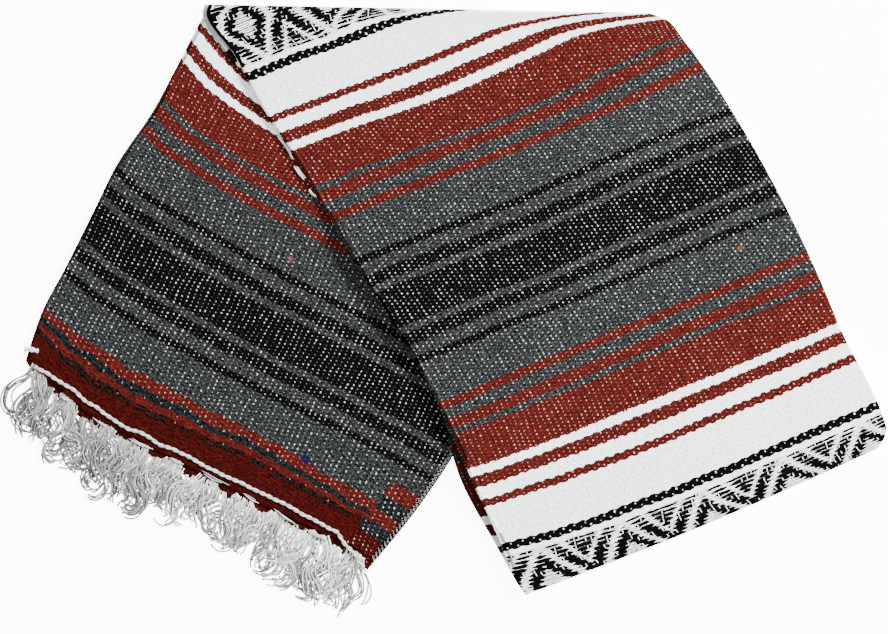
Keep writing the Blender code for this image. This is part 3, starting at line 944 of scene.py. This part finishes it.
def ribbon_yarns(draw, root, tip, start_height, yarns, swing):
    """The yarns of one ribbon: side by side from root to tip along one meandering line."""
    steps = np.linspace(0, 1, YARN_RINGS)
    reach = tip - root
    distance = np.linalg.norm(reach)
    heading = math.atan2(reach[1], reach[0])
    lean = draw.uniform(-0.5, 0.5)
    phase = draw.uniform(0, 2 * math.pi)
    turns = draw.uniform(0.8, 1.5)
    swing = swing * draw.uniform(0.6, 1.3)
    curl = draw.choice((-1, 1)) * draw.uniform(0.2, 1.9)
    angle = heading + lean * (1 - 2 * steps) + curl * smooth(steps, 0.55, 1.0)
    angle += swing * np.sin(2 * math.pi * turns * steps + phase) * smooth(steps, 0, 0.3)
    run = np.column_stack((np.cos(angle), np.sin(angle)))
    line = np.concatenate(([[0, 0]], np.cumsum((run[1:] + run[:-1]) / 2, axis=0)))
    line *= distance * 1.15 / (YARN_RINGS - 1)
    line += np.outer(steps, reach - line[-1])
    line += root
    aside = aside_of(line)
    ribbon_height = draw.uniform(0.0010, 0.0046)
    for yarn in range(yarns):
        offset = (yarn - (yarns - 1) / 2) * YARN_PITCH
        width = 0.6 + 0.6 * smooth(steps, 0.0, 0.35) - 0.25 * smooth(steps, 0.7, 1.0)
        wobble = draw.uniform(0.0004, 0.0026) * np.sin(
            2 * math.pi * draw.uniform(0.8, 2.6) * steps + draw.uniform(0, 2 * math.pi)
        )
        loose = draw.gauss(0, 0.0030) * steps**1.5
        plan = line + aside * (offset * width + wobble + loose)[:, None]
        stop = draw.uniform(0.78, 1.0)
        settled = ribbon_height * (1 - 0.45 * steps) + 0.0005 * np.sin(9 * steps + yarn)
        level = start_height + (settled - start_height) * smooth(steps, 0.02, 0.30)
        level = np.maximum(level + draw.uniform(-0.0005, 0.0005), YARN_RADIUS + 0.0001)
        kept = np.interp(steps * stop, steps, np.arange(YARN_RINGS))
        path = np.column_stack((plan, level))
        low = np.minimum(kept.astype(int), YARN_RINGS - 2)
        part = (kept - low)[:, None]
        path = path[low] * (1 - part) + path[low + 1] * part
        yield tube(path, YARN_RADIUS, YARN_SIDES)


def end_point(share, outwards):
    """A point of the fringed end in plan, pushed outwards from the cloth."""
    left, right = end_corners()
    return left + (right - left) * share + end_normal() * (float(end_outset(share)) + outwards)


def outline_point(share):
    """Where the fringe ends for a root at this share of the cloth's end."""
    return np.array(
        (np.interp(share, OUTLINE_SHARES, OUTLINE_X), np.interp(share, OUTLINE_SHARES, OUTLINE_Y))
    ) * MM


def near_fringe_yarns():
    draw = random.Random(11)
    for ribbon in range(LOWER_RIBBONS):
        share = 0.03 + 0.945 * (ribbon + draw.uniform(0.1, 0.9)) / LOWER_RIBBONS
        root = end_point(share, -draw.uniform(0.0008, 0.0046))
        aim = min(max(share + draw.uniform(-0.05, 0.05), 0), 1)
        tip = root + (outline_point(aim) - root) * draw.uniform(0.66, 0.96)
        swing = 1.6 - 0.5 * float(smooth(share, 0.3, 0.6)) - 0.5 * float(smooth(share, 0.88, 1.0))
        yarns = draw.choice(LOWER_YARNS)
        yield from ribbon_yarns(draw, root, tip, LOWER_ROOT_HEIGHT, yarns, swing)
    for share in BUNDLE_SHARES:
        for ribbon in range(RIBBONS_IN_BUNDLE):
            aside = ribbon - (RIBBONS_IN_BUNDLE - 1) / 2
            root = end_point(share + RIBBON_APART * aside, -UPPER_PLY_SHORT + 0.0008)
            aim = min(max(share + RIBBON_FAN * aside + draw.uniform(-0.03, 0.02), 0), 1)
            tip = root + (outline_point(aim) - root) * draw.uniform(0.62, 0.95)
            swing = 1.0 if share < 0.9 else 0.6
            yield from ribbon_yarns(draw, root, tip, UPPER_ROOT_HEIGHT, UPPER_YARNS, swing)


cotton = make_cotton("fringe_cotton", (0.86, 0.86, 0.85), 0.32)
# 0.50: painted shade, the fringe drawn half as bright at its left
near_fringe = tubes_to_piece("near_fringe", near_fringe_yarns(), cotton, 0.50)
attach(near_fringe, "root")
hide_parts("fringe")


# Twining of the near end: a thick white weft cord laid in 16 mm from the edge, and along the upper
# ply's edge a row of short white stitches, splayed where each bundle of fringe is drawn out.
CORD_LINE = (
    (-441, -52), (-428, -59), (-413, -69), (-398, -79), (-386, -90), (-374, -96),
    (-361, -106), (-349, -115), (-339, -120), (-328, -123), (-316, -129), (-307, -136),
    (-294, -140), (-260, -158), (-225, -175), (-202, -186), (-179, -196), (-154, -211),
    (-135, -220), (-118, -229), (-110, -242), (-103, -249), (-96, -259), (-90, -266),
)
CORD_STUB = ((-452, -34), (-445, -34), (-437, -36))
CORD_RADIUS = 0.0017
CORD_LAY = 0.016
CORD_POINTS = 260
STITCH_LINES = (
    ((-418, -81), (-400, -90)),
    ((-379, -105), (-363, -117)),
    ((-346, -126), (-314, -141)),
    ((-298, -149), (-281, -157)),
    ((-265, -163), (-233, -180)),
    ((-220, -187), (-201, -198)),
    ((-187, -204), (-161, -221)),
    ((-153, -225), (-127, -239)),
)
STITCH_RADIUS = 0.0008
STITCH_POINTS = 9
CLOTH_TOP = STACK + 0.0002


def fine_path(points, steps):
    """Even points, in metres, on the line through plan points in millimetres."""
    points = np.array(points, float) * MM
    lengths = distances_along(points)
    places = np.linspace(0, lengths[-1], steps)
    return np.column_stack([np.interp(places, lengths, points[:, axis]) for axis in (0, 1)])


def twisted_cord(points, steps, radius, level, wave):
    """A cord of two strands wound round each other along a plan line."""
    plan = fine_path(points, steps)
    aside = aside_of(plan)
    gone = distances_along(plan)
    bend = np.sin(gone / 0.011) + 0.6 * np.sin(gone / 0.0047 + 1)
    for strand in (0, math.pi):
        turn = 2 * math.pi * gone / CORD_LAY + strand
        shift = radius * 0.62 * np.cos(turn) + wave * bend
        height = level + radius * 0.62 + radius * 0.35 * np.sin(turn)
        path = np.column_stack((plan + aside * shift[:, None], height))
        yield tube(path, radius * 0.72, 8)


def stitch_strands():
    draw = random.Random(5)
    for start, stop in STITCH_LINES:
        near, far = np.array(start, float), np.array(stop, float)
        run = far - near
        aside = np.array((run[1], -run[0])) / np.linalg.norm(run)
        for part in range(3):
            first = near + run * draw.uniform(0.0, 0.25) - aside * draw.uniform(-1.2, 1.6)
            last = near + run * draw.uniform(0.75, 1.0) - aside * draw.uniform(-1.0, 1.0)
            middle = (first + last) / 2 + aside * draw.uniform(0.3, 1.6)
            plan = fine_path((first, middle, last), STITCH_POINTS)
            level = np.full(STITCH_POINTS, CLOTH_TOP + STITCH_RADIUS * (0.5 + 0.5 * part))
            taper = STITCH_RADIUS * np.sin(np.linspace(0.35, math.pi - 0.35, STITCH_POINTS))
            yield tube(np.column_stack((plan, level)), taper, 5)


white_cotton = make_cotton("white_cotton", (0.80, 0.79, 0.77), 0.08)
cord_parts = list(twisted_cord(CORD_LINE, CORD_POINTS, CORD_RADIUS, CLOTH_TOP, 0.0004))
cord_parts += list(twisted_cord(CORD_STUB, 20, CORD_RADIUS * 1.3, CLOTH_TOP - 0.0008, 0.0))
end_cord = tubes_to_piece("end_weft_cord", cord_parts, white_cotton)
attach(end_cord, "root")
end_stitches = tubes_to_piece("end_stitches", stitch_strands(), white_cotton)
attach(end_stitches, "root")


# Inner ply of the top fold: at the fold's left tip the ply inside the turn stands out a little past
# the outer one, white, with the end of its black rope line.
INNER_PLY = ((-256, 333), (-259, 324), (-253, 310), (-243, 296), (-235, 285))
INNER_ROPE = ((-235, 285), (-231, 279), (-227, 272))
INNER_POINTS = 16
INNER_HEIGHT = STACK_STEP + 0.0016
inner_parts = []
for line, radius in ((INNER_PLY, 0.0034), (INNER_ROPE, 0.0030)):
    inner_line = fine_path(line, INNER_POINTS)
    inner_level = np.full(INNER_POINTS, INNER_HEIGHT)
    inner_parts.append(tube(np.column_stack((inner_line, inner_level)), radius, 12, 0.5))
inner_ply = tubes_to_piece("fold_inner_ply", inner_parts[:1], white_cotton)
rope_black = make_cotton("rope_black", COLOURS["rope black"], 0.2)
inner_rope = tubes_to_piece("fold_inner_rope", inner_parts[1:], rope_black)
for piece in (inner_ply, inner_rope):
    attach(piece, "root")


# Overlock along the selvages: white thread 0.6 mm thick in a zigzag over the ply's edge, a turn
# every 4.2 mm, with painted shadow on the wool between. It shows on the left stretch beside the
# fringed end, and on the right stretch's open side, where the selvage lies between the folds.
STITCH_PITCH = 0.0042
STITCH_DEPTH = 0.0056
THREAD = 0.00028
SELVAGE_FROM_END = 0.165


def selvage_frame(rows, distances):
    """Points of a stretch's right edge in plan, and the direction inwards, at distances down it."""
    places, lengths = measure_plan(rows)
    points, inwards = [], []
    for distance in distances:
        left, right = row_ends(read_plan(rows, np.interp(distance, lengths, places)))
        points.append(right)
        inwards.append((left - right) / np.linalg.norm(left - right))
    return np.array(points), np.array(inwards)


def flat_overlock():
    """Two zigzags over the upper ply's edge of the left stretch, as far as it shows."""
    length = measure_plan(LEFT_PLAN)[1][-1]
    count = int(SELVAGE_FROM_END / STITCH_PITCH)
    for shift, reach in ((0.0, STITCH_DEPTH), (STITCH_PITCH * 0.55, STITCH_DEPTH * 0.7)):
        first = length - SELVAGE_FROM_END + shift
        distances = np.linspace(first, length - UPPER_PLY_SHORT - 0.002 + shift / 2, 2 * count + 1)
        points, inwards = selvage_frame(LEFT_PLAN, distances)
        top_edge = points + inwards * (SELVAGE_SET_BACK + 0.0009)
        path = []
        for index, (point, inward) in enumerate(zip(points, inwards)):
            if index % 2:
                inner = point + inward * (SELVAGE_SET_BACK + reach)
                path.append((*inner, CLOTH_TOP + THREAD))
                continue
            path.append((*top_edge[index], CLOTH_TOP + THREAD * 0.6))
            path.append((*(point + inward * (SELVAGE_SET_BACK - 0.0001)), STACK - PLY / 2))
        yield tube(path, THREAD, 5)


def side_overlock():
    """Zigzag down the edge of the selvage ply in the right stretch's open side."""
    length = measure_plan(RIGHT_PLAN)[1][-1]
    distances = np.arange(0.03, length - 0.03, STITCH_PITCH / 2)
    points, inwards = selvage_frame(RIGHT_PLAN, distances)
    path = []
    for index, (point, inward, distance) in enumerate(zip(points, inwards, distances)):
        top, base = right_heights(distance, length)(point[:1], point[1:])
        share = max(float(tucked_share(*point)), 0.02)
        scale = float(top[0] - base[0]) / ((PAIR + PLY) * (1 + share))
        upper = float(top[0]) - PAIR * scale
        height = upper - (0.15 if index % 2 == 0 else 0.85) * PLY * scale
        path.append((*(point + inward * (SELVAGE_SET_BACK + 0.0003)), height))
    yield tube(path, THREAD, 5)


overlock_threads = list(flat_overlock()) + list(side_overlock())
overlock = tubes_to_piece("selvage_overlock", overlock_threads, white_cotton)
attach(overlock, "root")


# Far fringe: the other end lies tucked under the right stretch, and a few of its yarn ends peep out
# over the left stretch beside the right stretch's edge.
FAR_ENDS = (
    ((-182, 194), (-176, 186), (-170, 178), (-166, 169)),
    ((-162, 160), (-158, 154), (-153, 148)),
    ((-149, 136), (-146, 132), (-142, 129)),
)
FAR_SPREADS = (0.5, 1.2, 0.9)
FAR_YARNS = 6
FAR_POINTS = 8


def far_yarns():
    draw = random.Random(8)
    for points, spread in zip(FAR_ENDS, FAR_SPREADS):
        for _ in range(FAR_YARNS):
            shift = np.array((draw.gauss(0, spread), draw.gauss(0, spread)))
            plan = fine_path(np.array(points, float) + shift, FAR_POINTS)
            level = STACK_STEP + YARN_RADIUS + draw.uniform(0, 0.0012)
            level = level + 0.0003 * np.sin(np.arange(FAR_POINTS))
            yield tube(np.column_stack((plan, level)), YARN_RADIUS, YARN_SIDES)


far_fringe = tubes_to_piece("far_fringe_ends", far_yarns(), cotton)
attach(far_fringe, "root")


# Studio: a plain white floor sheet, a strong soft panel at the right and two weak ones, and the
# camera straight above with a long lens, as the cut-out photograph shows the blanket.
FLOOR_SIDE = 60.0
FLOOR_GLOW = 9.0
bpy.ops.mesh.primitive_plane_add(size=FLOOR_SIDE, location=(0, 0, -0.0002))
floor = bpy.context.object
floor.name = "floor"
paper, _, paper_shader = new_material("white_paper", 1.0, 0.5)
paper_shader.inputs["Base Color"].default_value = (0.9, 0.9, 0.9, 1)
paper_shader.inputs["Emission Color"].default_value = (1, 1, 1, 1)
paper_shader.inputs["Emission Strength"].default_value = FLOOR_GLOW
floor.data.materials.append(paper)


def add_panel(name, location, size, power):
    light = bpy.data.lights.new(name, "AREA")
    light.shape = "SQUARE"
    light.size = size
    light.energy = power
    lamp = add_object(name, light)
    lamp.location = location
    away = math.hypot(location[0], location[1])
    lamp.rotation_euler = (math.atan2(away, location[2]), 0, math.atan2(location[0], -location[1]))


add_panel("key_panel", (3.4, 1.7, 2.5), size=1.2, power=1050)
add_panel("overhead_panel", (-0.3, 0.3, 2.7), size=1.8, power=80)
add_panel("front_panel", (-1.2, -2.2, 1.8), size=2.0, power=30)
world = bpy.data.worlds.new("soft_room")
world.use_nodes = True
background = world.node_tree.nodes["Background"]
background.inputs["Color"].default_value = (1, 1, 1, 1)
background.inputs["Strength"].default_value = 0.3
bpy.context.scene.world = world

CAMERA_X = -0.0043
CAMERA_Y = 0.0005
CAMERA_HEIGHT = 2.639
lens = bpy.data.cameras.new("camera")
lens.lens = 100
lens.sensor_width = 36
camera = add_object("camera", lens)
camera.location = (CAMERA_X, CAMERA_Y, CAMERA_HEIGHT)
bpy.context.scene.camera = camera
